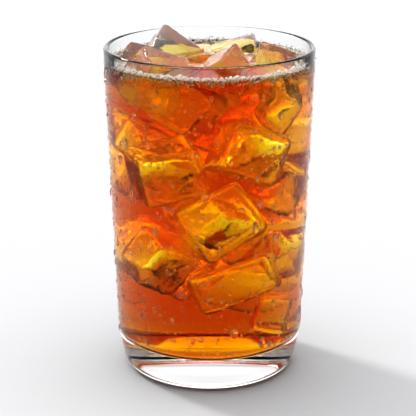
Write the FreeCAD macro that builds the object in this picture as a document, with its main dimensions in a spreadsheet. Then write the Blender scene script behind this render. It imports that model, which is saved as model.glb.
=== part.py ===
"""A tall tapered tumbler of iced tea: the glass, the tea, six floating ice cubes and the froth.

Units are millimetres and degrees.  +Z is up, the glass's axis is the Z axis and the plane that
it stands on is Z = 0.  Every size is a cell of the sheet named Sizes and each sub-part is bound
to those cells, so the tea fills whatever bore the glass has and the ice floats at its level.
"""
import FreeCAD
import Part
import math
import os
import Sketcher

# ------------------------------------------------------------------ driving sizes

GLASS_SIZES = (
    ("glass_height", 135.6, "foot to lip"),
    ("rim_diameter", 85.0, "outside, at the lip"),
    ("rim_wall", 1.9, "wall at the lip"),
    ("lip_round", 0.9, "rounding of both edges of the lip"),
    ("belly_height", 19.3, "where the straight taper ends and the heavy base curves in"),
    ("belly_diameter", 76.4, "outside, at the belly height"),
    ("belly_wall", 3.8, "wall at the belly height"),
    ("heel_inset", 3.45, "how far the base curves in from the belly down to the foot's plane"),
    ("heel_round", 5.3, "rounding between the base and the foot"),
    ("floor_thickness", 13.0, "heavy glass floor under the tea"),
    ("floor_corner", 6.0, "rounding inside, between the floor and the wall"),
    ("foot_ring", 2.45, "flat ring that the glass stands on, between the heel and the punt"),
    ("punt_depth", 1.0, "hollow under the foot, at the axis"),
)

CONTENT_SIZES = (
    ("headspace", 6.0, "lip down to the level of the tea"),
    ("froth_height", 2.6, "top of the froth over the level, at the wall"),
    ("froth_width", 4.2, "mean width of the ring of froth"),
    ("froth_wave", 1.1, "how much that width swings either way"),
    ("ice_round", 1.6, "melted edges of every cube"),
    ("ice_draft", 1.0, "how much each side of a cube leans in, from its tray"),
    ("ice_wall_gap", 0.4, "film of tea between the ice and the glass"),
)

# A cube's centre is given by its azimuth round the axis, its distance in from the wall and its
# depth under the level.  Yaw, pitch and roll then tip the cube about that centre.
ICE_FIELDS = ("azimuth", "inset", "sink", "yaw", "pitch", "roll", "length", "width", "depth")
ICE_CUBES = (
    ("ice_rear_left", (128.4, 15.1, 2.9, 123.0, 39.0, -136.0, 16.5, 20.7, 15.8)),
    ("ice_left", (168.1, 12.0, 6.4, 242.0, 30.0, -99.0, 16.2, 17.9, 16.5)),
    ("ice_front_left", (218.9, 15.6, 5.4, 21.0, 19.0, -161.0, 20.6, 16.6, 19.7)),
    ("ice_front_mid", (302.4, 27.6, 4.4, 143.0, 30.0, -111.0, 17.5, 17.4, 16.5)),
    ("ice_rear_mid", (64.3, 15.0, 5.7, 175.0, 17.0, -96.0, 20.8, 16.9, 16.6)),
    ("ice_right", (5.8, 14.0, 6.2, -4.0, 19.0, -157.0, 19.0, 16.5, 16.9)),
)

# The ring of froth is wavy: each lobe is a count round the ring, a share of the wave and a phase.
FROTH_LOBES = ((3, 0.6, 40.0), (7, 0.3, 115.0), (16, 0.25, 250.0))

FROTH_EDGE_POINTS = 96
MOUTH_OVERRUN = "15"  # how far the solid of the bore runs out of the mouth, past the ice

# ------------------------------------------------------------------ expressions over the cells

AXIS = "0"
FOOT = "0"
RIM_RADIUS = "Sizes.rim_diameter / 2"
BELLY_RADIUS = "Sizes.belly_diameter / 2"
HEEL_RADIUS = "(Sizes.belly_diameter / 2 - Sizes.heel_inset)"
PUNT_RADIUS = f"({HEEL_RADIUS} - Sizes.heel_round - Sizes.foot_ring)"
MOUTH_BORE = "(Sizes.rim_diameter / 2 - Sizes.rim_wall)"
BELLY_BORE = "(Sizes.belly_diameter / 2 - Sizes.belly_wall)"
TAPER_HEIGHT = "(Sizes.glass_height - Sizes.belly_height)"
TEA_LEVEL = "(Sizes.glass_height - Sizes.headspace)"
FROTH_TOP = f"({TEA_LEVEL} + Sizes.froth_height)"
LIP_ROUND = "min(Sizes.lip_round; 0.45 * Sizes.rim_wall)"


def bore_radius(height):
    """Expression for the inside radius of the straight wall at a height's expression."""
    slope = f"({MOUTH_BORE} - {BELLY_BORE}) / {TAPER_HEIGHT}"
    return f"({BELLY_BORE} + {slope} * ({height} - Sizes.belly_height))"


# ------------------------------------------------------------------ document helpers

document = FreeCAD.newDocument("IcedTeaTumbler")
sheet = document.addObject("Spreadsheet::Sheet", "Sizes")


def fill_sheet():
    """Write every driving size as a row of name, value and note, and alias its value."""
    rows = list(GLASS_SIZES + CONTENT_SIZES)
    for name, values in ICE_CUBES:
        for field, value in zip(ICE_FIELDS, values):
            rows.append((f"{name}_{field}", value, "where and how a cube floats"))
    for number, (alias, value, note) in enumerate(rows, start=1):
        sheet.set(f"A{number}", alias)
        sheet.set(f"B{number}", str(value))
        sheet.set(f"C{number}", note)
        sheet.setAlias(f"B{number}", alias)
    document.recompute()


def value_of(expression):
    """The number that an expression over the cells gives now."""
    return float(sheet.evalExpression(expression))


def origin_feature(body, role):
    """The body's own origin plane or axis with this role, such as XZ_Plane."""
    for feature in body.Origin.OriginFeatures:
        if feature.Role == role:
            return feature
    raise ValueError(f"{body.Label} has no {role}")


def pin_corner(sketch, name, edge, radius, height):
    """Bind the corner that an edge starts from to the expressions of its radius and height."""
    for kind, axis_line, expression in (("DistanceX", -2, radius), ("DistanceY", -1, height)):
        if expression in (AXIS, FOOT):
            sketch.addConstraint(Sketcher.Constraint("PointOnObject", edge, 1, axis_line))
            continue
        start_value = value_of(expression)
        index = sketch.addConstraint(Sketcher.Constraint(kind, -1, 1, edge, 1, start_value))
        sketch.renameConstraint(index, f"{name}_{kind}")
        sketch.setExpression(f"Constraints.{name}_{kind}", expression)


def draw_outline(body, name, corners, bulge=None):
    """Sketch a closed outline of (radius, height) expressions in the body's XZ plane.

    The corners run round the outline to the left.  Its edges are straight, but bulge may give
    one that is an arc: (edge number, how far its middle first lies outside its chord, the edge
    number that it meets smoothly, or None for an arc centred on the axis).
    """
    sketch = body.newObject("Sketcher::SketchObject", name)
    sketch.AttachmentSupport = [(origin_feature(body, "XZ_Plane"), "")]
    sketch.MapMode = "FlatFace"
    points = [FreeCAD.Vector(value_of(radius), value_of(height), 0) for radius, height in corners]
    for number, start in enumerate(points):
        end = points[(number + 1) % len(points)]
        if bulge and bulge[0] == number:
            chord = end - start
            side = FreeCAD.Vector(chord.y, -chord.x, 0).normalize()
            curve = Part.Arc(start, (start + end) / 2 + side * bulge[1], end)
        else:
            curve = Part.LineSegment(start, end)
        sketch.addGeometry(curve, False)
    for number, (radius, height) in enumerate(corners):
        before = (number - 1) % len(corners)
        joint = (before, 2, number, 1)
        smooth = bulge and bulge[2] is not None and {before, number} == {bulge[0], bulge[2]}
        sketch.addConstraint(Sketcher.Constraint("Tangent" if smooth else "Coincident", *joint))
        pin_corner(sketch, f"corner_{number}", number, radius, height)
    if bulge and bulge[2] is None:
        sketch.addConstraint(Sketcher.Constraint("PointOnObject", bulge[0], 3, -2))
    return sketch


def turn_outline(body, kind, name, sketch):
    """Turn an outline once round the axis, as a Revolution that adds or a Groove that cuts."""
    feature = body.newObject(f"PartDesign::{kind}", name)
    feature.Profile = sketch
    feature.ReferenceAxis = (origin_feature(body, "Z_Axis"), [""])
    feature.Angle = 360
    sketch.Visibility = False
    document.recompute()
    return feature


def round_circles(body, name, height, radius):
    """Round every circular edge of the body that lies at a height, by a bound radius."""
    base = body.Tip
    level = value_of(height)
    edges = []
    for number, edge in enumerate(base.Shape.Edges, start=1):
        is_circle = isinstance(edge.Curve, Part.Circle)
        if is_circle and abs(edge.Curve.Center.z - level) < 1e-4:
            edges.append(f"Edge{number}")
    fillet = body.newObject("PartDesign::Fillet", name)
    fillet.Base = (base, edges)
    fillet.setExpression("Radius", radius)
    document.recompute()
    return fillet


def combine(kind, name, base, tool):
    """A Part::Common or Part::Cut of two objects."""
    result = document.addObject(f"Part::{kind}", name)
    result.Base = base
    result.Tool = tool
    return result


def gather(name, pieces):
    """Several objects as one compound, to cut with."""
    compound = document.addObject("Part::Compound", name)
    compound.Links = pieces
    return compound


# ------------------------------------------------------------------ the glass and its bore


def bore_outline(body, clearance="0"):
    """Outline of the room inside the glass, smaller all round by a clearance."""
    floor = f"(Sizes.floor_thickness + {clearance})"
    top = f"(Sizes.glass_height + {MOUTH_OVERRUN})"
    corners = [
        (AXIS, floor),
        (f"{bore_radius(floor)} - {clearance}", floor),
        (f"{bore_radius(top)} - {clearance}", top),
        (AXIS, top),
    ]
    return draw_outline(body, "BoreOutline", corners)


def make_glass():
    """The tumbler: a tapered wall on a heavy base, with a round lip and a shallow punt."""
    body = document.addObject("PartDesign::Body", "Glass")
    body.Label = "glass"
    corners = [
        (AXIS, FOOT),
        (HEEL_RADIUS, FOOT),
        (BELLY_RADIUS, "Sizes.belly_height"),
        (RIM_RADIUS, "Sizes.glass_height"),
        (AXIS, "Sizes.glass_height"),
    ]
    outside = draw_outline(body, "OutsideOutline", corners, bulge=(1, 0.7, 2))
    turn_outline(body, "Revolution", "Blank", outside)
    round_circles(body, "Heel", FOOT, "Sizes.heel_round")
    turn_outline(body, "Groove", "Bore", bore_outline(body))
    round_circles(body, "FloorCorner", "Sizes.floor_thickness", "Sizes.floor_corner")
    round_circles(body, "Lip", "Sizes.glass_height", LIP_ROUND)
    punt_corners = [(AXIS, FOOT), (PUNT_RADIUS, FOOT), (AXIS, "Sizes.punt_depth")]
    punt = draw_outline(body, "PuntOutline", punt_corners, bulge=(1, 0.5, None))
    turn_outline(body, "Groove", "Punt", punt)
    return body


def make_bore(name, clearance="0"):
    """A solid of the room inside the glass, which what fills the glass is trimmed to."""
    body = document.addObject("PartDesign::Body", name)
    turn_outline(body, "Revolution", f"{name}Turned", bore_outline(body, clearance))
    floor = f"(Sizes.floor_thickness + {clearance})"
    round_circles(body, f"{name}Corner", floor, f"Sizes.floor_corner - {clearance}")
    return body


# ------------------------------------------------------------------ the ice


def make_cube(name):
    """One cube: a block that narrows to one side as its tray did, with melted edges."""
    body = document.addObject("PartDesign::Body", f"Block_{name}")
    block = body.newObject("PartDesign::AdditiveWedge", f"Wedge_{name}")
    across = {"X": f"Sizes.{name}_length", "Z": f"Sizes.{name}_depth"}
    for axis, size in across.items():
        for side, sign in (("min", "-"), ("max", "+")):
            block.setExpression(f"{axis}{side}", f"{sign}{size} / 2")
            narrow = f"{sign}({size} / 2 - Sizes.ice_draft)"
            block.setExpression(f"{axis}2{side}", narrow)
    block.setExpression("Ymin", f"-Sizes.{name}_width / 2")
    block.setExpression("Ymax", f"Sizes.{name}_width / 2")
    document.recompute()
    rounding = body.newObject("PartDesign::Fillet", f"Melt_{name}")
    rounding.Base = (block, [""])
    rounding.UseAllEdges = True
    rounding.setExpression("Radius", "Sizes.ice_round")
    reach = f"({bore_radius(TEA_LEVEL)} - Sizes.{name}_inset)"
    place = "; ".join([
        f"{reach} * cos(Sizes.{name}_azimuth)",
        f"{reach} * sin(Sizes.{name}_azimuth)",
        f"{TEA_LEVEL} - Sizes.{name}_sink",
    ])
    turn = f"Sizes.{name}_yaw; Sizes.{name}_pitch; Sizes.{name}_roll"
    body.setExpression(
        "Placement",
        f"create(<<placement>>; create(<<vector>>; {place}); create(<<rotation>>; {turn}))",
    )
    document.recompute()
    return body


def make_ice():
    """All the cubes, each kept clear of the wall and trimmed where an earlier one lies."""
    room = make_bore("IceRoom", "Sizes.ice_wall_gap")
    cubes = []
    for name, _ in ICE_CUBES:
        cube = combine("Common", f"Kept_{name}", make_cube(name), room)
        if cubes:
            earlier = gather(f"Before_{name}", list(cubes))
            cube = combine("Cut", f"Trimmed_{name}", cube, earlier)
        cube.Label = name
        cubes.append(cube)
    document.recompute()
    return cubes


# ------------------------------------------------------------------ the tea and its froth


def make_tea(bore, cubes):
    """The tea: it fills the bore up to its level and closes round the ice that floats in it."""
    body = document.addObject("PartDesign::Body", "Liquid")
    corners = [(AXIS, FOOT), (RIM_RADIUS, FOOT), (RIM_RADIUS, TEA_LEVEL), (AXIS, TEA_LEVEL)]
    turn_outline(body, "Revolution", "LiquidTurned", draw_outline(body, "LiquidOutline", corners))
    filling = combine("Common", "Filling", bore, body)
    tea = combine("Cut", "Tea", filling, gather("IceInTea", cubes))
    tea.Label = "tea"
    document.recompute()
    return tea, filling


def froth_edge():
    """The wavy inner edge of the ring of froth, as a solid that stands inside it."""
    wall = value_of(bore_radius(TEA_LEVEL))
    width = value_of("Sizes.froth_width")
    wave = value_of("Sizes.froth_wave")
    points = []
    for step in range(FROTH_EDGE_POINTS):
        angle = 2 * math.pi * step / FROTH_EDGE_POINTS
        swing = sum(share * math.sin(count * angle + math.radians(phase))
                    for count, share, phase in FROTH_LOBES)
        radius = wall - width - wave * swing
        points.append(FreeCAD.Vector(radius * math.cos(angle), radius * math.sin(angle), 0))
    curve = Part.BSplineCurve()
    curve.interpolate(points, PeriodicFlag=True)
    face = Part.Face(Part.Wire(curve.toShape()))
    height = value_of("Sizes.glass_height")
    edge = document.addObject("Part::Feature", "FrothEdge")
    edge.Shape = face.extrude(FreeCAD.Vector(0, 0, height))
    return edge


def make_froth(bore, filling, cubes):
    """The froth: a low ring of bubbles against the wall, uneven on its inner side."""
    body = document.addObject("PartDesign::Body", "FrothMound")
    inner = f"{bore_radius(TEA_LEVEL)} - Sizes.froth_width - Sizes.froth_wave"
    corners = [
        (inner, "Sizes.floor_thickness"),
        (RIM_RADIUS, "Sizes.floor_thickness"),
        (RIM_RADIUS, FROTH_TOP),
        (bore_radius(TEA_LEVEL), FROTH_TOP),
        (inner, TEA_LEVEL),
    ]
    outline = draw_outline(body, "FrothOutline", corners, bulge=(3, 0.8, 2))
    turn_outline(body, "Revolution", "FrothTurned", outline)
    ring = combine("Cut", "FrothRing", body, froth_edge())
    held = combine("Common", "FrothHeld", ring, bore)
    floating = combine("Cut", "FrothFloating", held, filling)
    froth = combine("Cut", "Froth", floating, gather("IceInFroth", cubes))
    froth.Label = "froth"
    document.recompute()
    return froth


# ------------------------------------------------------------------ build, check and write


def check(sub_parts):
    """Stop if any object of the document failed or a sub-part's shape isn't sound."""
    for thing in document.Objects:
        if "Invalid" in thing.State or "Error" in thing.State:
            raise RuntimeError(f"{thing.Label} failed: {thing.State}")
    for thing in sub_parts:
        if thing.Shape.isNull() or not thing.Shape.isValid() or not thing.Shape.Solids:
            raise RuntimeError(f"{thing.Label} has no sound shape")


def write(sub_parts):
    """Write each sub-part to a STEP file named after it, and print its solids and volume."""
    os.makedirs("parts", exist_ok=True)
    for thing in sub_parts:
        thing.Shape.exportStep(f"parts/{thing.Label}.step")
        millilitres = thing.Shape.Volume / 1000
        print(f"{thing.Label}: {len(thing.Shape.Solids)} solid, {millilitres:.1f} ml")


fill_sheet()
glass = make_glass()
bore = make_bore("BoreSolid")
ice = make_ice()
tea, filling = make_tea(bore, ice)
froth = make_froth(bore, filling, ice)
everything = [glass, tea, *ice, froth]
check(everything)
write(everything)
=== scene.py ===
"""The looks of a tall tumbler of iced tea with ice cubes, froth and condensation.

The clear bodies are nested as in the real drink.  The tea reaches a hair into the glass, and it
is hollow wherever a cube of ice lies, so that light is only coloured by the tea it passes through.
Lengths are metres.  +Z is up, the glass stands on Z = 0 and its axis is the Z axis.
"""
import logging
import math
from collections.abc import Iterable, Sequence
from dataclasses import dataclass, field
from enum import StrEnum

import bpy
import numpy as np
from mathutils import Euler, Matrix, Vector


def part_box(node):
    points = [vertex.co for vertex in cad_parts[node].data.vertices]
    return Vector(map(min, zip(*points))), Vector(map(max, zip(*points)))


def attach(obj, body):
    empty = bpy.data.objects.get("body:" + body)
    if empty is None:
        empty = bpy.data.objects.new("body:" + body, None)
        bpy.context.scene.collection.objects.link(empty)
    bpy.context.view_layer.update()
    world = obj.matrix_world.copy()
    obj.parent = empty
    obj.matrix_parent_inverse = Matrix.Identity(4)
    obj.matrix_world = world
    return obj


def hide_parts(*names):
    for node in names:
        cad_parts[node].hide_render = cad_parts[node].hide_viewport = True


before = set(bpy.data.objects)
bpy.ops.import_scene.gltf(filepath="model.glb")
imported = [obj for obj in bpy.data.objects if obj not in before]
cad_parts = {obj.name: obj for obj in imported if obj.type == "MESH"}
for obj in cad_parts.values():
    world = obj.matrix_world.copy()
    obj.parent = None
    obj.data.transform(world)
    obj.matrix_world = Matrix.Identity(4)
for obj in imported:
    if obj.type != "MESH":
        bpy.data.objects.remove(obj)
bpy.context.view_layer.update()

log = logging.getLogger("tumbler")

MM = 0.001
DOUBLES = 1e-6

Point = tuple[float, float]
Colour = tuple[float, float, float]
Triple = tuple[float, float, float]


class Slot(StrEnum):
    """The material slots that the record names."""

    GLASS = "glass"
    TEA = "tea"
    ICE = "ice"
    FROTH = "froth"


# ------------------------------------------------------------------ hand tools


class Bench:
    """The hand tools that every piece is made with."""

    @staticmethod
    def clear() -> None:
        """Leave edit mode and deselect everything."""
        if bpy.context.object and bpy.context.object.mode != "OBJECT":
            bpy.ops.object.mode_set(mode="OBJECT")
        bpy.ops.object.select_all(action="DESELECT")

    @staticmethod
    def pick(piece: bpy.types.Object) -> None:
        """Select one piece alone and make it active.

        Args:
            piece: What is picked.
        """
        Bench.clear()
        piece.select_set(True)
        bpy.context.view_layer.objects.active = piece

    @staticmethod
    def settle(piece: bpy.types.Object) -> None:
        """Move a piece's place, turn and scale into its mesh."""
        Bench.pick(piece)
        bpy.ops.object.transform_apply(location=True, rotation=True, scale=True)

    @staticmethod
    def smooth(piece: bpy.types.Object) -> None:
        """Shade a piece smooth all over."""
        Bench.pick(piece)
        bpy.ops.object.shade_smooth()

    @staticmethod
    def apply_all(piece: bpy.types.Object) -> None:
        """Apply every modifier of a piece, in order.

        Args:
            piece: What is finished.
        """
        Bench.pick(piece)
        for name in [modifier.name for modifier in piece.modifiers]:
            bpy.ops.object.modifier_apply(modifier=name)

    @staticmethod
    def duplicate(piece: bpy.types.Object, name: str) -> bpy.types.Object:
        """Copy a piece together with its mesh.

        Args:
            piece: What is copied; it stays as it is.
            name: The copy's name.

        Returns:
            The copy, which rides on nothing and wears no material.
        """
        copy = piece.copy()
        copy.data = piece.data.copy()
        copy.name = name
        copy.data.materials.clear()
        for key in list(copy.keys()):
            del copy[key]
        copy.parent = None
        copy.hide_render = False
        bpy.context.scene.collection.objects.link(copy)
        return copy

    @staticmethod
    def discard(piece: bpy.types.Object) -> None:
        """Throw away a piece that only served to make another."""
        bpy.data.objects.remove(piece, do_unlink=True)

    @staticmethod
    def join(pieces: Sequence[bpy.types.Object], name: str) -> bpy.types.Object:
        """Join pieces into one.

        Args:
            pieces: What is joined, into the first of them.
            name: The result's name.

        Returns:
            The joined piece.
        """
        Bench.clear()
        for piece in pieces:
            piece.select_set(True)
        bpy.context.view_layer.objects.active = pieces[0]
        bpy.ops.object.join()
        joined = bpy.context.object
        joined.name = name
        return joined

    @staticmethod
    def turn_on_lathe(name: str, outline: Sequence[Point], steps: int) -> bpy.types.Object:
        """Turn an open outline that starts and ends on the axis into a closed solid.

        Args:
            name: The piece's name.
            outline: (radius, height) points, each joined to the next.
            steps: How many facets go once round.

        Returns:
            The turned piece, smooth and facing outwards.
        """
        Bench.clear()
        first = Vector((outline[0][0], 0.0, outline[0][1]))
        bpy.ops.mesh.primitive_plane_add(size=MM, location=first)
        piece = bpy.context.object
        piece.name = name
        Bench.settle(piece)
        bpy.ops.object.mode_set(mode="EDIT")
        bpy.ops.mesh.select_all(action="SELECT")
        bpy.ops.mesh.merge(type="CENTER")
        before = first
        for radius, height in outline[1:]:
            here = Vector((radius, 0.0, height))
            bpy.ops.mesh.extrude_region_move(TRANSFORM_OT_translate={"value": here - before})
            before = here
        bpy.ops.mesh.select_all(action="SELECT")
        bpy.ops.mesh.spin(steps=steps, angle=math.tau, center=(0, 0, 0), axis=(0, 0, 1))
        bpy.ops.mesh.select_all(action="SELECT")
        bpy.ops.mesh.remove_doubles(threshold=DOUBLES)
        bpy.ops.mesh.normals_make_consistent(inside=False)
        bpy.ops.object.mode_set(mode="OBJECT")
        Bench.smooth(piece)
        return piece

    @staticmethod
    def scatter(
        name: str, master: bpy.types.Object, places: Iterable[Matrix]
    ) -> bpy.types.Object:
        """Make one joined mesh of many placed copies of a small master, which is used up.

        Args:
            name: The joined piece's name.
            master: A small closed mesh about its own origin.
            places: One placing matrix for each copy.

        Returns:
            The joined piece, smooth.
        """
        count = len(master.data.vertices)
        corners = np.ones((count, 4))
        for number, vertex in enumerate(master.data.vertices):
            corners[number, :3] = vertex.co
        faces = [tuple(face.vertices) for face in master.data.polygons]
        placed = [(corners @ np.array(place).T)[:, :3] for place in places]
        points = np.concatenate(placed)
        all_faces = [
            tuple(index + count * copy for index in face)
            for copy in range(len(placed))
            for face in faces
        ]
        mesh = bpy.data.meshes.new(name)
        mesh.from_pydata(points.tolist(), [], all_faces)
        piece = bpy.data.objects.new(name, mesh)
        bpy.context.scene.collection.objects.link(piece)
        Bench.discard(master)
        Bench.smooth(piece)
        return piece

    @staticmethod
    def dress(piece: bpy.types.Object, material: bpy.types.Material, slot: Slot) -> None:
        """Give a piece its material, and let it ride on the one body.

        Args:
            piece: The finished piece.
            material: Its finish.
            slot: The record's slot for it; not used.
        """
        piece.data.materials.clear()
        piece.data.materials.append(material)
        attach(piece, "root")
        log.info("%s: %d faces", piece.name, len(piece.data.polygons))


# ------------------------------------------------------------------ finishes


class NodeSketch:
    """A small helper that lays out a material's nodes."""

    def __init__(self, name: str) -> None:
        """Start a material with a Principled shader.

        Args:
            name: The material's name.
        """
        self.material = bpy.data.materials.new(name)
        self.material.use_nodes = True
        self.tree = self.material.node_tree
        self.shader = self.tree.nodes["Principled BSDF"]
        self.output = self.tree.nodes["Material Output"]

    def add(self, kind: str) -> bpy.types.Node:
        """Add a node of a kind."""
        return self.tree.nodes.new(kind)

    def wire(self, start: bpy.types.NodeSocket, end: bpy.types.NodeSocket) -> None:
        """Link two sockets."""
        self.tree.links.new(start, end)

    def noise(self, scale: float, detail: float = 3.0, rough: float = 0.5) -> bpy.types.Node:
        """Lay out a noise texture on Object coordinates.

        Args:
            scale: Features per metre.
            detail: How many finer layers it has.
            rough: How strong the finer layers are.

        Returns:
            The noise node.
        """
        place = self.add("ShaderNodeTexCoord")
        noise = self.add("ShaderNodeTexNoise")
        noise.inputs["Scale"].default_value = scale
        noise.inputs["Detail"].default_value = detail
        noise.inputs["Roughness"].default_value = rough
        self.wire(place.outputs["Object"], noise.inputs["Vector"])
        return noise

    def bump(self, height: bpy.types.NodeSocket, strength: float, depth: float) -> None:
        """Bump the shader's normal.

        Args:
            height: The socket that gives the height.
            strength: Share of the bump that is used.
            depth: The height's full swing, in metres.
        """
        bump = self.add("ShaderNodeBump")
        bump.inputs["Strength"].default_value = strength
        bump.inputs["Distance"].default_value = depth
        self.wire(height, bump.inputs["Height"])
        self.wire(bump.outputs["Normal"], self.shader.inputs["Normal"])

    def clear_body(
        self, ior: float, roughness: float, tint: Colour = (1.0, 1.0, 1.0), mirror: float = 1.0
    ) -> None:
        """Make the shader a clear refracting body.

        Args:
            ior: How strongly it bends light.
            roughness: 0 for a polished face.
            tint: What each face lets through.
            mirror: Share of the head-on reflection that is kept, as a wet or coated face has less.
        """
        self.shader.inputs["Base Color"].default_value = (*tint, 1.0)
        self.shader.inputs["Specular Tint"].default_value = (mirror, mirror, mirror, 1.0)
        self.shader.inputs["Transmission Weight"].default_value = 1.0
        self.shader.inputs["IOR"].default_value = ior
        self.shader.inputs["Roughness"].default_value = roughness


@dataclass(frozen=True)
class ClearGlass:
    """Polished soda-lime glass."""

    ior: float = 1.5
    roughness: float = 0.0
    tint: Colour = (0.99, 0.995, 0.995)
    mirror: float = 0.15

    def make(self) -> bpy.types.Material:
        """Make the material.

        Returns:
            The material.
        """
        sketch = NodeSketch("clear_glass")
        sketch.clear_body(self.ior, self.roughness, self.tint, self.mirror)
        return sketch.material


@dataclass(frozen=True)
class MistedGlass:
    """The chilled outside of the glass, under a breath of droplets too fine to see singly."""

    ior: float = 1.5
    roughness: float = 0.0
    tint: Colour = (0.99, 0.995, 0.995)
    mirror: float = 0.03
    droplets_per_metre: float = 1500.0
    strength: float = 0.25
    depth: float = 0.00006

    def make(self) -> bpy.types.Material:
        """Make the material.

        Returns:
            The material.
        """
        sketch = NodeSketch("misted_glass")
        sketch.clear_body(self.ior, self.roughness, self.tint, self.mirror)
        droplets = sketch.noise(self.droplets_per_metre, detail=2.0)
        sketch.bump(droplets.outputs["Fac"], self.strength, self.depth)
        return sketch.material


@dataclass(frozen=True)
class TeaFinish:
    """Clear amber tea, whose colour deepens with how much of it the light crosses."""

    ior: float = 1.333
    absorbs: float = 345.0
    keeps: Colour = (0.979, 0.888, 0.0)
    mirror: float = 0.03

    def make(self) -> bpy.types.Material:
        """Make the material.

        Returns:
            The material.
        """
        sketch = NodeSketch("tea")
        sketch.clear_body(self.ior, 0.0, mirror=self.mirror)
        volume = sketch.add("ShaderNodeVolumeAbsorption")
        volume.inputs["Density"].default_value = self.absorbs
        volume.inputs["Color"].default_value = (*self.keeps, 1.0)
        sketch.wire(volume.outputs["Volume"], sketch.output.inputs["Volume"])
        return sketch.material


@dataclass(frozen=True)
class IceFinish:
    """Wet melting ice: clear, with a rippled skin."""

    name: str = "sunk_ice"
    ior: float = 1.13
    roughness: float = 0.0
    mirror: float = 0.4
    clear_share: float = 0.99
    ripples_per_metre: float = 300.0
    strength: float = 0.7
    depth: float = 0.0006

    def make(self) -> bpy.types.Material:
        """Make the material.

        Returns:
            The material.
        """
        sketch = NodeSketch(self.name)
        sketch.clear_body(self.ior, self.roughness, mirror=self.mirror)
        sketch.shader.inputs["Transmission Weight"].default_value = self.clear_share
        ripples = sketch.noise(self.ripples_per_metre, detail=3.0)
        sketch.bump(ripples.outputs["Fac"], self.strength, self.depth)
        return sketch.material


@dataclass(frozen=True)
class BubbleFinish:
    """A wet bubble's film: mostly clear, with a milky share that keeps the froth pale."""

    ior: float = 1.33
    roughness: float = 0.04
    clear_share: float = 0.45
    tint: Colour = (1.0, 0.95, 0.88)

    def make(self) -> bpy.types.Material:
        """Make the material.

        Returns:
            The material.
        """
        sketch = NodeSketch("froth_bubble")
        sketch.clear_body(self.ior, self.roughness, self.tint)
        sketch.shader.inputs["Transmission Weight"].default_value = self.clear_share
        return sketch.material


@dataclass(frozen=True)
class WaterFinish:
    """Clear water, for the condensation."""

    name: str
    mirror: float
    ior: float = 1.333

    def make(self) -> bpy.types.Material:
        """Make the material.

        Returns:
            The material.
        """
        sketch = NodeSketch(self.name)
        sketch.clear_body(self.ior, 0.0, mirror=self.mirror)
        return sketch.material


# ------------------------------------------------------------------ the tumbler


@dataclass(frozen=True)
class TumblerShape:
    """The glass's sizes, as its solid has them."""

    height: float
    rim_radius: float
    tea_level: float
    rim_wall: float = 1.9 * MM
    lip_round: float = 0.9 * MM
    belly_height: float = 19.3 * MM
    belly_radius: float = 38.2 * MM
    belly_wall: float = 3.8 * MM
    heel_inset: float = 3.45 * MM
    heel_round: float = 5.3 * MM
    floor_height: float = 13.0 * MM
    floor_corner: float = 6.0 * MM
    punt_radius: float = 27.0 * MM
    punt_depth: float = 1.0 * MM
    corner_steps: int = 8

    @classmethod
    def from_frame(cls) -> "TumblerShape":
        """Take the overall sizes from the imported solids.

        Returns:
            The glass's shape.
        """
        low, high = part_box("glass")
        _, tea_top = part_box("tea")
        return cls(height=high.z - low.z, rim_radius=high.x, tea_level=tea_top.z)

    def outer_radius(self, height: float) -> float:
        """Find the radius of the outside of the straight wall at a height."""
        slope = (self.rim_radius - self.belly_radius) / (self.height - self.belly_height)
        return self.belly_radius + slope * (height - self.belly_height)

    def inner_radius(self, height: float) -> float:
        """Find the radius of the inside of the straight wall.

        Args:
            height: Where, up from the table.

        Returns:
            The radius there.
        """
        mouth = self.rim_radius - self.rim_wall
        belly = self.belly_radius - self.belly_wall
        slope = (mouth - belly) / (self.height - self.belly_height)
        return belly + slope * (height - self.belly_height)

    def base_radius(self, height: float) -> float:
        """Find the radius of the outside below the belly, where the base curves in.

        Args:
            height: Where, up from the table.

        Returns:
            The radius there.
        """
        share = (self.belly_height - height) / self.belly_height
        straight = self.belly_radius - self.outer_radius(0.0)
        return self.belly_radius - straight * share - (self.heel_inset - straight) * share**2

    def floor_corner_arc(self, skin: float) -> list[Point]:
        """Lay out the rounded corner inside, from the floor up to the wall.

        Args:
            skin: How far the corner is moved out into the glass.

        Returns:
            The corner's points.
        """
        centre_height = self.floor_height + self.floor_corner
        centre_radius = self.inner_radius(centre_height) - self.floor_corner
        reach = self.floor_corner + skin
        steps = self.corner_steps
        turns = [math.radians(-90 + 90 * step / steps) for step in range(steps + 1)]
        return [
            (centre_radius + reach * math.cos(turn), centre_height + reach * math.sin(turn))
            for turn in turns
        ]


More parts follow.
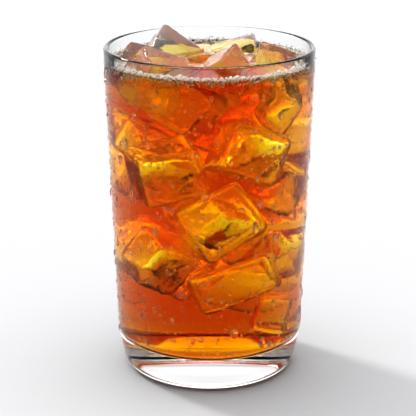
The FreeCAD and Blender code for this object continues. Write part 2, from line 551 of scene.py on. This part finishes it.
@dataclass
class Tumbler:
    """The glass itself, turned on a lathe: clear inside and below, misted outside."""

    shape: TumblerShape
    steps: int = 160
    mist_foot: float = 20.0 * MM
    mist_top: float = 131.5 * MM
    mist_reach: float = 0.5 * MM
    heel_share: float = 0.86
    punt_steps: int = 8
    heel_steps: int = 8
    base_steps: int = 6
    wall_steps: int = 12

    def outline(self) -> list[Point]:
        """Lay out the wall's section.

        Returns:
            Its points, from the axis underneath round to the axis on the floor inside.
        """
        return [*self.underside(), *self.outside(), *self.lip(), *self.inside()]

    def underside(self) -> list[Point]:
        """Lay out the shallow punt and the rounded heel.

        Returns:
            Their points, from the axis outwards.
        """
        shape = self.shape
        points: list[Point] = [(0.0, shape.punt_depth)]
        for step in range(1, self.punt_steps):
            radius = shape.punt_radius * step / self.punt_steps
            share = radius / shape.punt_radius
            points.append((radius, shape.punt_depth * (1 - share**2)))
        points.append((shape.punt_radius, 0.0))
        heel = shape.base_radius(0.0)
        above = self.heel_share * shape.heel_round
        foot = heel - above
        side = shape.base_radius(above)
        for step in range(self.heel_steps + 1):
            share = step / self.heel_steps
            radius = (1 - share) ** 2 * foot + 2 * share * (1 - share) * heel + share**2 * side
            points.append((radius, share**2 * above))
        return points

    def outside(self) -> list[Point]:
        """Lay out the outside.

        Returns:
            Its points, from above the heel up to the lip.
        """
        shape = self.shape
        above = self.heel_share * shape.heel_round
        points: list[Point] = []
        for step in range(1, self.base_steps + 1):
            height = above + (shape.belly_height - above) * step / self.base_steps
            points.append((shape.base_radius(height), height))
        top = shape.height - shape.lip_round
        for step in range(1, self.wall_steps + 1):
            height = shape.belly_height + (top - shape.belly_height) * step / self.wall_steps
            points.append((shape.outer_radius(height), height))
        return points

    def lip(self) -> list[Point]:
        """Lay out the lip.

        Returns:
            The points of its half round, from the outside in.
        """
        shape = self.shape
        top = shape.height - shape.lip_round
        half = shape.rim_wall / 2
        middle = shape.rim_radius - shape.rim_wall / 2
        turns = [math.pi * step / self.wall_steps for step in range(1, self.wall_steps)]
        return [
            (middle + half * math.cos(turn), top + shape.lip_round * math.sin(turn))
            for turn in turns
        ]

    def inside(self) -> list[Point]:
        """Lay out the inside.

        Returns:
            Its points, from the lip down to the axis on the floor.
        """
        shape = self.shape
        top = shape.height - shape.lip_round
        corner = shape.floor_corner_arc(0.0)
        low = corner[-1][1]
        points: list[Point] = []
        for step in range(self.wall_steps):
            height = top + (low - top) * step / self.wall_steps
            points.append((shape.inner_radius(height), height))
        points.extend(reversed(corner))
        points.append((corner[0][0] / 2, shape.floor_height))
        points.append((0.0, shape.floor_height))
        return points

    def build(self) -> bpy.types.Object:
        """Turn the glass, dress it and hide the glass's solid.

        Returns:
            The glass.
        """
        piece = Bench.turn_on_lathe("tumbler_glass", self.outline(), self.steps)
        Bench.dress(piece, ClearGlass().make(), Slot.GLASS)
        piece.data.materials.append(MistedGlass().make())
        for face in piece.data.polygons:
            centre = face.center
            radius = math.hypot(centre.x, centre.y)
            outside = radius > self.shape.outer_radius(centre.z) - self.mist_reach
            if outside and self.mist_foot < centre.z < self.mist_top:
                face.material_index = 1
        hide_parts("glass")
        return piece


# ------------------------------------------------------------------ the ice


@dataclass(frozen=True)
class Melt:
    """How a block of ice has melted: its mesh's grain and the swells and dents of its skin."""

    voxel: float = 0.9 * MM
    smoothing: int = 4
    swell: float = 0.9 * MM
    swell_size: float = 9.0 * MM
    dent: float = 0.30 * MM
    dent_size: float = 2.6 * MM

    def apply(self, piece: bpy.types.Object) -> None:
        """Give a plain block its melted skin.

        Args:
            piece: The block, whose mesh is remade.
        """
        grain = piece.modifiers.new("grain", "REMESH")
        grain.mode = "VOXEL"
        grain.voxel_size = self.voxel
        soften = piece.modifiers.new("soften", "SMOOTH")
        soften.iterations = self.smoothing
        for name, depth, size in (
            ("swell", self.swell, self.swell_size),
            ("dent", self.dent, self.dent_size),
        ):
            texture = bpy.data.textures.new(name, "CLOUDS")
            texture.noise_scale = size
            texture.noise_depth = 1
            displace = piece.modifiers.new(name, "DISPLACE")
            displace.texture = texture
            displace.texture_coords = "GLOBAL"
            displace.strength = depth
            displace.mid_level = 0.5
        Bench.apply_all(piece)
        Bench.smooth(piece)


@dataclass
class FloatingIce:
    """The cubes that break the surface, each melted from its own solid."""

    clearness: tuple[tuple[str, float], ...] = (
        ("ice_rear_left", 0.84),
        ("ice_left", 0.94),
        ("ice_front_left", 0.90),
        ("ice_front_mid", 0.93),
        ("ice_rear_mid", 0.90),
        ("ice_right", 0.94),
    )
    melt: Melt = Melt(voxel=0.7 * MM, swell=0.7 * MM, dent=0.25 * MM)
    ior: float = 1.29
    mirror: float = 1.0

    def build(self) -> list[bpy.types.Object]:
        """Melt each cube, dress it and hide its solid.

        Returns:
            The cubes.
        """
        cubes = []
        for name, clearness in self.clearness:
            cube = Bench.duplicate(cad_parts[name], f"melted_{name}")
            Bench.pick(cube)
            bpy.ops.object.mode_set(mode="EDIT")
            bpy.ops.mesh.select_all(action="SELECT")
            bpy.ops.mesh.remove_doubles(threshold=DOUBLES)
            bpy.ops.object.mode_set(mode="OBJECT")
            self.melt.apply(cube)
            finish = IceFinish(
                f"floating_{name}", ior=self.ior, mirror=self.mirror, clear_share=clearness
            )
            Bench.dress(cube, finish.make(), Slot.ICE)
            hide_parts(name)
            cubes.append(cube)
        return cubes


@dataclass(frozen=True)
class Block:
    """Where a sunk block lies to start with, in millimetres and degrees."""

    centre: Triple
    turn: Triple
    size: Triple
    held: bool


@dataclass
class SunkIce:
    """The blocks wholly under the surface: placed as listed, then settled clear of each other."""

    shape: TumblerShape
    blocks: tuple[Block, ...] = (
        Block((12, -18, 100), (-14, 24, 14), (25, 20, 20), True),
        Block((-15, -17, 90), (14, -16, 10), (25, 19, 21), True),
        Block((9, -17, 74), (-18, -30, 16), (27, 20, 24), True),
        Block((25, -9, 84), (20, 30, 50), (15, 16, 19), True),
        Block((-16, -17, 52), (28, 20, 32), (20, 18, 21), True),
        Block((7, -19, 45), (-14, -20, 8), (31, 16, 16), True),
        Block((24, -17, 113), (20, 35, 30), (13, 14, 16), True),
        Block((-29, -5, 104), (10, 28, 24), (13, 14, 16), True),
        Block((-1, 4, 113), (30, 20, 70), (19, 16, 20), True),
        Block((-13, 15, 101), (30, 20, 10), (28, 26, 25), False),
        Block((14, 15, 100), (60, 10, 35), (28, 26, 25), False),
        Block((-2, 2, 87), (35, 24, 52), (19, 18, 18), False),
        Block((-14, 13, 73), (10, 40, 25), (26, 23, 23), False),
        Block((14, 13, 73), (35, 15, 50), (26, 23, 23), False),
        Block((27, -3, 60), (25, 10, 40), (14, 16, 17), False),
        Block((2, 13, 52), (20, 25, 15), (22, 19, 19), False),
        Block((22, -11, 27), (5, 14, 12), (14, 13, 16), True),
    )
    gap: float = 0.35 * MM
    held_share: float = 0.12
    corner_round: float = 2.2 * MM
    melt: Melt = Melt(voxel=1.0 * MM, swell=1.2 * MM, dent=0.50 * MM, dent_size=3.4 * MM)
    hollow_share: float = 0.994
    bulk_share: float = 0.95
    pull: float = 0.06
    rounds: int = 240
    held_rounds: float = 0.75
    corner_reach: float = 0.93
    under_surface: float = 2 * MM
    cloud_step: int = 7
    cloud_reach: float = 20 * MM
    centres: list[Vector] = field(default_factory=list)

    def settle(self, floating: Sequence[bpy.types.Object]) -> None:
        """Push the blocks apart, in from the wall, off the floor and under the floating cubes.

        Args:
            floating: The cubes at the surface.
        """
        turns = [
            np.array(Euler([math.radians(a) for a in block.turn]).to_matrix())
            for block in self.blocks
        ]
        halves = [np.array(block.size) * MM / 2 * self.bulk_share for block in self.blocks]
        centres = np.array([block.centre for block in self.blocks]) * MM
        starts = centres.copy()
        clouds = []
        for cube in floating:
            points = np.array([vertex.co for vertex in cube.data.vertices])
            clouds.append((points[:: self.cloud_step], points.mean(axis=0)))
        signs = np.array([(x, y, z) for x in (-1, 1) for y in (-1, 1) for z in (-1, 1)])
        for turn_number in range(self.rounds):
            for one in range(len(centres)):
                if self.blocks[one].held and turn_number < self.rounds * self.held_rounds:
                    centres[one] += self.pull * (starts[one] - centres[one])
                for other in range(one + 1, len(centres)):
                    push = self.box_overlap(
                        centres[other] - centres[one],
                        turns[one],
                        halves[one],
                        turns[other],
                        halves[other],
                    )
                    share = self.share_of(one, other)
                    centres[one] -= push * share
                    centres[other] += push * (1 - share)
                for points, middle in clouds:
                    centres[one] += self.cloud_overlap(
                        centres[one], turns[one], halves[one], points, middle
                    )
                corners = centres[one] + (signs * halves[one] * self.corner_reach) @ turns[one].T
                radii = np.hypot(corners[:, 0], corners[:, 1])
                allowed = np.array([self.shape.inner_radius(z) for z in corners[:, 2]])
                over = radii - allowed + self.gap
                worst = int(over.argmax())
                if over[worst] > 0:
                    inward = -corners[worst, :2] / radii[worst]
                    centres[one][:2] += inward * over[worst]
                lift = self.shape.floor_height + self.gap - corners[:, 2].min()
                drop = corners[:, 2].max() - (self.shape.tea_level - self.under_surface)
                centres[one][2] += max(lift, 0.0) - max(drop, 0.0)
        self.centres = [Vector(centre) for centre in centres]

    def share_of(self, one: int, other: int) -> float:
        """Share a push between two blocks.

        Args:
            one: The first block's number.
            other: The second block's number.

        Returns:
            The part of the push that the first one takes.
        """
        held, other_held = self.blocks[one].held, self.blocks[other].held
        if held == other_held:
            return 0.5
        return self.held_share if held else 1 - self.held_share

    def box_overlap(
        self,
        between: np.ndarray,
        turn_a: np.ndarray,
        half_a: np.ndarray,
        turn_b: np.ndarray,
        half_b: np.ndarray,
    ) -> np.ndarray:
        """Find the shortest push that parts two boxes, or nothing if they are apart.

        Args:
            between: From the first box's centre to the second's.
            turn_a: The first box's axes, as columns.
            half_a: The first box's half sizes.
            turn_b: The second box's axes, as columns.
            half_b: The second box's half sizes.

        Returns:
            How far the second box has to move from the first.
        """
        if np.linalg.norm(between) > np.linalg.norm(half_a) + np.linalg.norm(half_b):
            return np.zeros(3)
        crossed = [np.cross(a, b) for a in turn_a.T for b in turn_b.T]
        axes = [*turn_a.T, *turn_b.T]
        axes += [axis / np.linalg.norm(axis) for axis in crossed if np.linalg.norm(axis) > 1e-3]
        lines = np.array(axes)
        reach = np.abs(lines @ turn_a) @ half_a + np.abs(lines @ turn_b) @ half_b
        apart = np.abs(lines @ between) - reach - self.gap
        best = int(apart.argmax())
        if apart[best] >= 0:
            return np.zeros(3)
        way = lines[best] * (1.0 if lines[best] @ between >= 0 else -1.0)
        return -apart[best] * way

    def cloud_overlap(
        self,
        centre: np.ndarray,
        turn: np.ndarray,
        half: np.ndarray,
        points: np.ndarray,
        middle: np.ndarray,
    ) -> np.ndarray:
        """Find the push that parts a box from a rounded cube, or nothing if they are apart.

        Args:
            centre: The box's centre.
            turn: The box's axes, as columns.
            half: The box's half sizes.
            points: Points on the cube's skin.
            middle: The cube's middle.

        Returns:
            How far the box has to move.
        """
        way = centre - middle
        distance = np.linalg.norm(way)
        if distance > np.linalg.norm(half) + self.cloud_reach:
            return np.zeros(3)
        lines = np.vstack([turn.T, [way / distance]])
        lines = lines * np.where(lines @ way < 0, -1.0, 1.0)[:, None]
        reach = np.abs(lines @ turn) @ half
        apart = (lines @ centre - reach) - (points @ lines.T).max(axis=0) - self.gap
        best = int(apart.argmax())
        if apart[best] >= 0:
            return np.zeros(3)
        return -apart[best] * lines[best]

    def carve(self, number: int) -> bpy.types.Object:
        """Make one melted block at its settled place.

        Args:
            number: The block's number.

        Returns:
            The block.
        """
        block = self.blocks[number]
        Bench.clear()
        bpy.ops.mesh.primitive_cube_add(
            size=1.0,
            location=self.centres[number],
            rotation=[math.radians(angle) for angle in block.turn],
            scale=[side * MM for side in block.size],
        )
        piece = bpy.context.object
        piece.name = f"sunk_block_{number}"
        Bench.settle(piece)
        bpy.ops.object.mode_set(mode="EDIT")
        bpy.ops.mesh.select_all(action="SELECT")
        bpy.ops.mesh.bevel(offset=self.corner_round, segments=3, affect="EDGES")
        bpy.ops.object.mode_set(mode="OBJECT")
        self.melt.apply(piece)
        return piece

    def build(
        self, floating: Sequence[bpy.types.Object], finish: bpy.types.Material
    ) -> tuple[bpy.types.Object, list[bpy.types.Object]]:
        """Settle and carve all the blocks.

        Args:
            floating: The cubes at the surface, which the blocks stay clear of.
            finish: The ice's material.

        Returns:
            The joined blocks, and a smaller copy of each for the tea's hollows.
        """
        self.settle(floating)
        blocks = [self.carve(number) for number in range(len(self.blocks))]
        hollows = [shrunk_copy(block, self.hollow_share) for block in blocks]
        joined = Bench.join(blocks, "sunk_ice")
        Bench.dress(joined, finish, Slot.ICE)
        return joined, hollows


def shrunk_copy(piece: bpy.types.Object, share: float) -> bpy.types.Object:
    """Copy a cube, a little smaller about its own middle.

    Args:
        piece: The cube, which stays as it is.
        share: The copy's size as a share of the cube's.

    Returns:
        The copy.
    """
    copy = Bench.duplicate(piece, f"hollow_{piece.name}")
    middle = sum((vertex.co for vertex in copy.data.vertices), Vector()) / len(copy.data.vertices)
    place = Matrix.Translation(middle) @ Matrix.Scale(share, 4) @ Matrix.Translation(-middle)
    copy.data.transform(place)
    return copy


# ------------------------------------------------------------------ the tea


@dataclass
class Tea:
    """The tea: it fills the glass from a hair inside the wall and is hollow round the ice."""

    shape: TumblerShape
    skin: float = 0.08 * MM
    meniscus_width: float = 1.4 * MM
    meniscus_rise: float = 0.5 * MM
    steps: int = 128
    wall_steps: int = 12
    meniscus_steps: int = 8
    surface_rings: tuple[float, ...] = (0.85, 0.6, 0.3)
    hollow_share: float = 0.996

    def outline(self) -> list[Point]:
        """Lay out half of the tea's section.

        Returns:
            Its points, from the floor's middle up to the middle of the surface.
        """
        shape = self.shape
        level = shape.tea_level
        corner = shape.floor_corner_arc(self.skin)
        points: list[Point] = [(0.0, shape.floor_height - self.skin)]
        points.append((corner[0][0] / 2, corner[0][1]))
        points.extend(corner)
        low = corner[-1][1]
        high = level + self.meniscus_rise
        for step in range(1, self.wall_steps):
            height = low + (high - low) * step / self.wall_steps
            points.append((shape.inner_radius(height) + self.skin, height))
        edge = shape.inner_radius(high) + self.skin
        for step in range(self.meniscus_steps + 1):
            share = step / self.meniscus_steps
            rise = self.meniscus_rise * (1 - share) ** 2
            points.append((edge - self.meniscus_width * share, level + rise))
        flat = edge - self.meniscus_width
        for share in self.surface_rings:
            points.append((flat * share, level))
        points.append((0.0, level))
        return points

    def build(
        self, floating: Sequence[bpy.types.Object], hollows: Sequence[bpy.types.Object]
    ) -> bpy.types.Object:
        """Turn the tea, hollow it round all the ice and hide the tea's solid.

        Args:
            floating: The cubes at the surface.
            hollows: Smaller copies of the sunk blocks, which are used up.

        Returns:
            The tea.
        """
        piece = Bench.turn_on_lathe("tea_body", self.outline(), self.steps)
        for cube in floating:
            tool = shrunk_copy(cube, self.hollow_share)
            cut = piece.modifiers.new("hollow", "BOOLEAN")
            cut.operation = "DIFFERENCE"
            cut.solver = "EXACT"
            cut.object = tool
            Bench.apply_all(piece)
            Bench.discard(tool)
        for hollow in hollows:
            Bench.pick(hollow)
            bpy.ops.object.mode_set(mode="EDIT")
            bpy.ops.mesh.select_all(action="SELECT")
            bpy.ops.mesh.flip_normals()
            bpy.ops.object.mode_set(mode="OBJECT")
        piece = Bench.join([piece, *hollows], "tea_body")
        Bench.smooth(piece)
        Bench.dress(piece, TeaFinish().make(), Slot.TEA)
        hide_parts("tea")
        return piece


# ------------------------------------------------------------------ froth and condensation


@dataclass
class Froth:
    """The ring of bubbles against the wall: small ones heaped, a few large ones among them."""

    shape: TumblerShape
    count: int = 2450
    mean_width: float = 4.2 * MM
    wave: float = 1.3 * MM
    height: float = 1.9 * MM
    sunk_share: float = 1.1
    rise_share: float = 0.75
    wall_share: float = 0.7
    squash: float = 0.88
    smallest: float = 0.28 * MM
    largest: float = 1.0 * MM
    size_skew: float = 3.5
    inward_skew: float = 1.3
    crown_power: float = 0.6
    closeness: float = 0.9
    tries_each: int = 40
    seed: int = 5

    def width(self, angle: float) -> float:
        """Find how far the froth reaches in from the wall.

        Args:
            angle: Where, round the glass.

        Returns:
            The froth's width there.
        """
        swing = 0.6 * math.sin(3 * angle + 0.7) + 0.4 * math.sin(7 * angle + 2.0)
        return self.mean_width + self.wave * swing

    def places(self) -> list[Matrix]:
        """Drop bubbles into the ring one by one, leaving out those that would sit in another.

        Returns:
            One placing matrix for each bubble.
        """
        random = np.random.default_rng(self.seed)
        kept: list[tuple[np.ndarray, float]] = []
        cells: dict[tuple[int, int, int], list[int]] = {}
        cell = 2 * self.largest
        spread = self.largest - self.smallest
        tries = 0
        while len(kept) < self.count and tries < self.tries_each * self.count:
            tries += 1
            angle = random.uniform(0, math.tau)
            radius = self.smallest + spread * random.random() ** self.size_skew
            inward = self.width(angle) * random.random() ** self.inward_skew
            crown = self.height * (1 - inward / (self.width(angle) + 1e-9)) ** self.crown_power
            rise = random.uniform(-self.sunk_share, self.rise_share) * crown
            height = self.shape.tea_level + rise
            reach = self.shape.inner_radius(height) - radius * self.wall_share - inward
            centre = np.array([reach * math.cos(angle), reach * math.sin(angle), height])
            key = tuple(int(value // cell) for value in centre)
            near = [
                number
                for dx in (-1, 0, 1)
                for dy in (-1, 0, 1)
                for dz in (-1, 0, 1)
                for number in cells.get((key[0] + dx, key[1] + dy, key[2] + dz), [])
            ]
            clear = all(
                np.linalg.norm(kept[number][0] - centre)
                > self.closeness * (kept[number][1] + radius)
                for number in near
            )
            if clear:
                cells.setdefault(key, []).append(len(kept))
                kept.append((centre, radius))
        leans = random.uniform(0, math.tau, (len(kept), 2))
        return [
            Matrix.Translation(centre)
            @ Euler((lean, turn, 0.0)).to_matrix().to_4x4()
            @ Matrix.Scale(radius, 4)
            for (centre, radius), (lean, turn) in zip(kept, leans)
        ]

    def bubble(self) -> bpy.types.Object:
        """Make the one bubble that is copied: a ball pressed a little flat by its neighbours.

        Returns:
            The bubble, of radius 1.
        """
        Bench.clear()
        bpy.ops.mesh.primitive_ico_sphere_add(subdivisions=2, radius=1.0)
        bubble = bpy.context.object
        bpy.ops.object.mode_set(mode="EDIT")
        bpy.ops.mesh.select_all(action="SELECT")
        bpy.ops.transform.resize(value=(1.0, 1.0, self.squash))
        bpy.ops.mesh.vertices_smooth(factor=0.2, repeat=1)
        bpy.ops.object.mode_set(mode="OBJECT")
        return bubble

    def build(self) -> bpy.types.Object:
        """Make the bubbles and hide the froth's solid.

        Returns:
            The froth.
        """
        piece = Bench.scatter("froth_bubbles", self.bubble(), self.places())
        Bench.dress(piece, BubbleFinish().make(), Slot.FROTH)
        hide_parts("froth")
        return piece


@dataclass(frozen=True)
class Dew:
    """One kind of drop: how many there are, how large, how flat and how rough its ball."""

    name: str
    count: int
    smallest: float
    largest: float
    skew: float
    flatness: float
    stretch: float
    grain: int
    mirror: float
    seed: int


@dataclass
class Condensation:
    """Drops on the chilled outside of the glass, from fine beads to a few that have run."""

    shape: TumblerShape
    kinds: tuple[Dew, ...] = (
        Dew("dew_fine", 6200, 0.17 * MM, 0.45 * MM, 2.0, 0.8, 1.0, 1, 0.4, 11),
        Dew("dew_beads", 1500, 0.40 * MM, 0.85 * MM, 2.5, 0.62, 1.15, 2, 0.6, 12),
        Dew("dew_drops", 130, 0.85 * MM, 1.7 * MM, 2.2, 0.55, 1.5, 3, 0.9, 13),
    )
    foot: float = 16.0 * MM
    top: float = 131.0 * MM
    bedded: float = 0.3

    def drop(self, kind: Dew) -> bpy.types.Object:
        """Make the one drop of a kind that is copied: a dome, flat where it beds in the glass.

        Args:
            kind: The kind of drop, whose grain sets how fine the dome is.

        Returns:
            The dome, with its flat side towards -X.
        """
        Bench.clear()
        bpy.ops.mesh.primitive_ico_sphere_add(subdivisions=kind.grain, radius=1.0)
        dome = bpy.context.object
        bpy.ops.object.mode_set(mode="EDIT")
        bpy.ops.mesh.select_all(action="SELECT")
        bpy.ops.mesh.bisect(
            plane_co=(-self.bedded, 0.0, 0.0),
            plane_no=(1.0, 0.0, 0.0),
            use_fill=True,
            clear_inner=True,
        )
        bpy.ops.mesh.select_all(action="SELECT")
        bpy.ops.mesh.normals_make_consistent(inside=False)
        bpy.ops.object.mode_set(mode="OBJECT")
        return dome

    def places(self, kind: Dew) -> list[Matrix]:
        """Scatter one kind of drop over the wall.

        Args:
            kind: The kind of drop.

        Returns:
            One placing matrix for each drop.
        """
        random = np.random.default_rng(kind.seed)
        result = []
        slope = self.shape.outer_radius(1.0) - self.shape.outer_radius(0.0)
        lean = math.atan(slope)
        for _ in range(kind.count):
            angle = random.uniform(0, math.tau)
            height = random.uniform(self.foot, self.top)
            size = kind.smallest + (kind.largest - kind.smallest) * random.random() ** kind.skew
            tall = size * (1 + (kind.stretch - 1) * random.random() * 2)
            radius = self.shape.outer_radius(height)
            place = Matrix.Rotation(angle, 4, "Z")
            place = place @ Matrix.Translation((radius, 0.0, height))
            place = place @ Matrix.Rotation(lean, 4, "Y")
            place = place @ Matrix.Diagonal((size * kind.flatness, size, tall, 1.0))
            place = place @ Matrix.Rotation(random.uniform(0, math.tau), 4, "X")
            result.append(place)
        return result

    def build(self) -> list[bpy.types.Object]:
        """Make every kind of drop.

        Returns:
            One joined piece of each kind.
        """
        pieces = []
        for kind in self.kinds:
            piece = Bench.scatter(kind.name, self.drop(kind), self.places(kind))
            Bench.dress(piece, WaterFinish(kind.name, kind.mirror).make(), Slot.GLASS)
            pieces.append(piece)
        return pieces


# ------------------------------------------------------------------ the studio


@dataclass
class Studio:
    """A pale table top, soft light and the camera."""

    lens: float = 125.3
    distance: float = 0.6
    elevation: float = 17.8
    target: Triple = (-0.0006, 0.0, 0.0672)
    table_size: float = 6.0
    table_colour: Colour = (0.53, 0.53, 0.531)
    table_roughness: float = 0.8
    sky_strength: float = 0.88
    sky_blue: float = 1.01
    sun_strength: float = 1.4
    sun_from: Triple = (-1.3, 1.1, 1.25)
    sun_width: float = 9.0
    bounces: int = 48
    clear_bounces: int = 44
    light_by_height: tuple[tuple[float, float], ...] = (
        (0.0, 1.8),
        (0.3, 1.2),
        (0.5, 0.5),
        (0.8, 1.3),
        (0.93, 3.2),
    )
    light_by_depth: tuple[tuple[float, float], ...] = (
        (0.0, 0.45),
        (0.35, 0.6),
        (0.55, 0.85),
        (0.8, 1.0),
    )

    def table(self) -> None:
        """Lay the table top."""
        Bench.clear()
        bpy.ops.mesh.primitive_plane_add(size=self.table_size, location=(0, 0, 0))
        table = bpy.context.object
        table.name = "table_top"
        sketch = NodeSketch("table_paint")
        sketch.shader.inputs["Base Color"].default_value = (*self.table_colour, 1.0)
        sketch.shader.inputs["Roughness"].default_value = self.table_roughness
        sketch.shader.inputs["Specular IOR Level"].default_value = 0.0
        table.data.materials.append(sketch.material)

    def sky(self) -> None:
        """Wrap the scene in a white studio, brightest overhead."""
        world = bpy.data.worlds.new("studio")
        bpy.context.scene.world = world
        world.use_nodes = True
        tree = world.node_tree
        background = tree.nodes["Background"]
        place = tree.nodes.new("ShaderNodeTexCoord")
        split = tree.nodes.new("ShaderNodeSeparateXYZ")
        tree.links.new(place.outputs["Generated"], split.inputs["Vector"])
        by_height = self.ramp(tree, split.outputs["Z"], self.light_by_height)
        depth = tree.nodes.new("ShaderNodeMapRange")
        depth.inputs["From Min"].default_value = -1.0
        tree.links.new(split.outputs["Y"], depth.inputs["Value"])
        by_depth = self.ramp(tree, depth.outputs["Result"], self.light_by_depth)
        blend = tree.nodes.new("ShaderNodeMix")
        blend.data_type = "RGBA"
        blend.blend_type = "MULTIPLY"
        blend.inputs["Factor"].default_value = 1.0
        tree.links.new(by_height, blend.inputs["A"])
        tree.links.new(by_depth, blend.inputs["B"])
        tree.links.new(blend.outputs["Result"], background.inputs["Color"])
        background.inputs["Strength"].default_value = self.sky_strength

    def ramp(
        self,
        tree: bpy.types.NodeTree,
        value: bpy.types.NodeSocket,
        stops: Sequence[tuple[float, float]],
    ) -> bpy.types.NodeSocket:
        """Turn a value into light by a list of (value, light) stops.

        Args:
            tree: The world's nodes.
            value: What the ramp reads.
            stops: The ramp's stops, in order.

        Returns:
            The ramp's colour.
        """
        ramp = tree.nodes.new("ShaderNodeValToRGB")
        tree.links.new(value, ramp.inputs["Fac"])
        elements = ramp.color_ramp.elements
        while len(elements) < len(stops):
            elements.new(0.5)
        for element, (place, light) in zip(elements, stops):
            element.position = place
            element.color = (light, light, light * self.sky_blue, 1.0)
        return ramp.outputs["Color"]

    def sun(self) -> None:
        """Hang the key light far off behind on the left, broad enough for a soft shadow."""
        Bench.clear()
        where = Vector(self.sun_from)
        bpy.ops.object.light_add(type="SUN", location=where)
        sun = bpy.context.object
        sun.name = "key_light"
        sun.data.energy = self.sun_strength
        sun.data.angle = math.radians(self.sun_width)
        sun.rotation_euler = where.to_track_quat("Z", "Y").to_euler()

    def camera(self) -> None:
        """Set up the camera."""
        tilt = math.radians(self.elevation)
        aim = Vector(self.target)
        where = aim + self.distance * Vector((0, -math.cos(tilt), math.sin(tilt)))
        bpy.ops.object.camera_add(location=where)
        camera = bpy.context.object
        camera.rotation_euler = (aim - where).to_track_quat("-Z", "Y").to_euler()
        camera.data.lens = self.lens
        camera.data.sensor_width = 36.0
        bpy.context.scene.camera = camera

    def build(self) -> None:
        """Lay out the table, the light and the camera."""
        self.table()
        self.sky()
        self.sun()
        self.camera()
        scene = bpy.context.scene
        scene.view_settings.view_transform = "Standard"
        scene.view_settings.look = "High Contrast"
        scene.cycles.max_bounces = self.bounces
        scene.cycles.transmission_bounces = self.clear_bounces
        scene.cycles.glossy_bounces = 12
        scene.cycles.diffuse_bounces = 4
        scene.cycles.transparent_max_bounces = 16
        scene.cycles.sample_clamp_indirect = 12.0


def main() -> None:
    """Build every piece in order, from the glass inwards and out again."""
    logging.basicConfig(level=logging.INFO, format="%(name)s: %(message)s")
    shape = TumblerShape.from_frame()
    Tumbler(shape).build()
    floating = FloatingIce().build()
    _, hollows = SunkIce(shape).build(floating, IceFinish().make())
    Tea(shape).build(floating, hollows)
    Froth(shape).build()
    Condensation(shape).build()
    Studio().build()


if __name__ == "__main__":
    main()
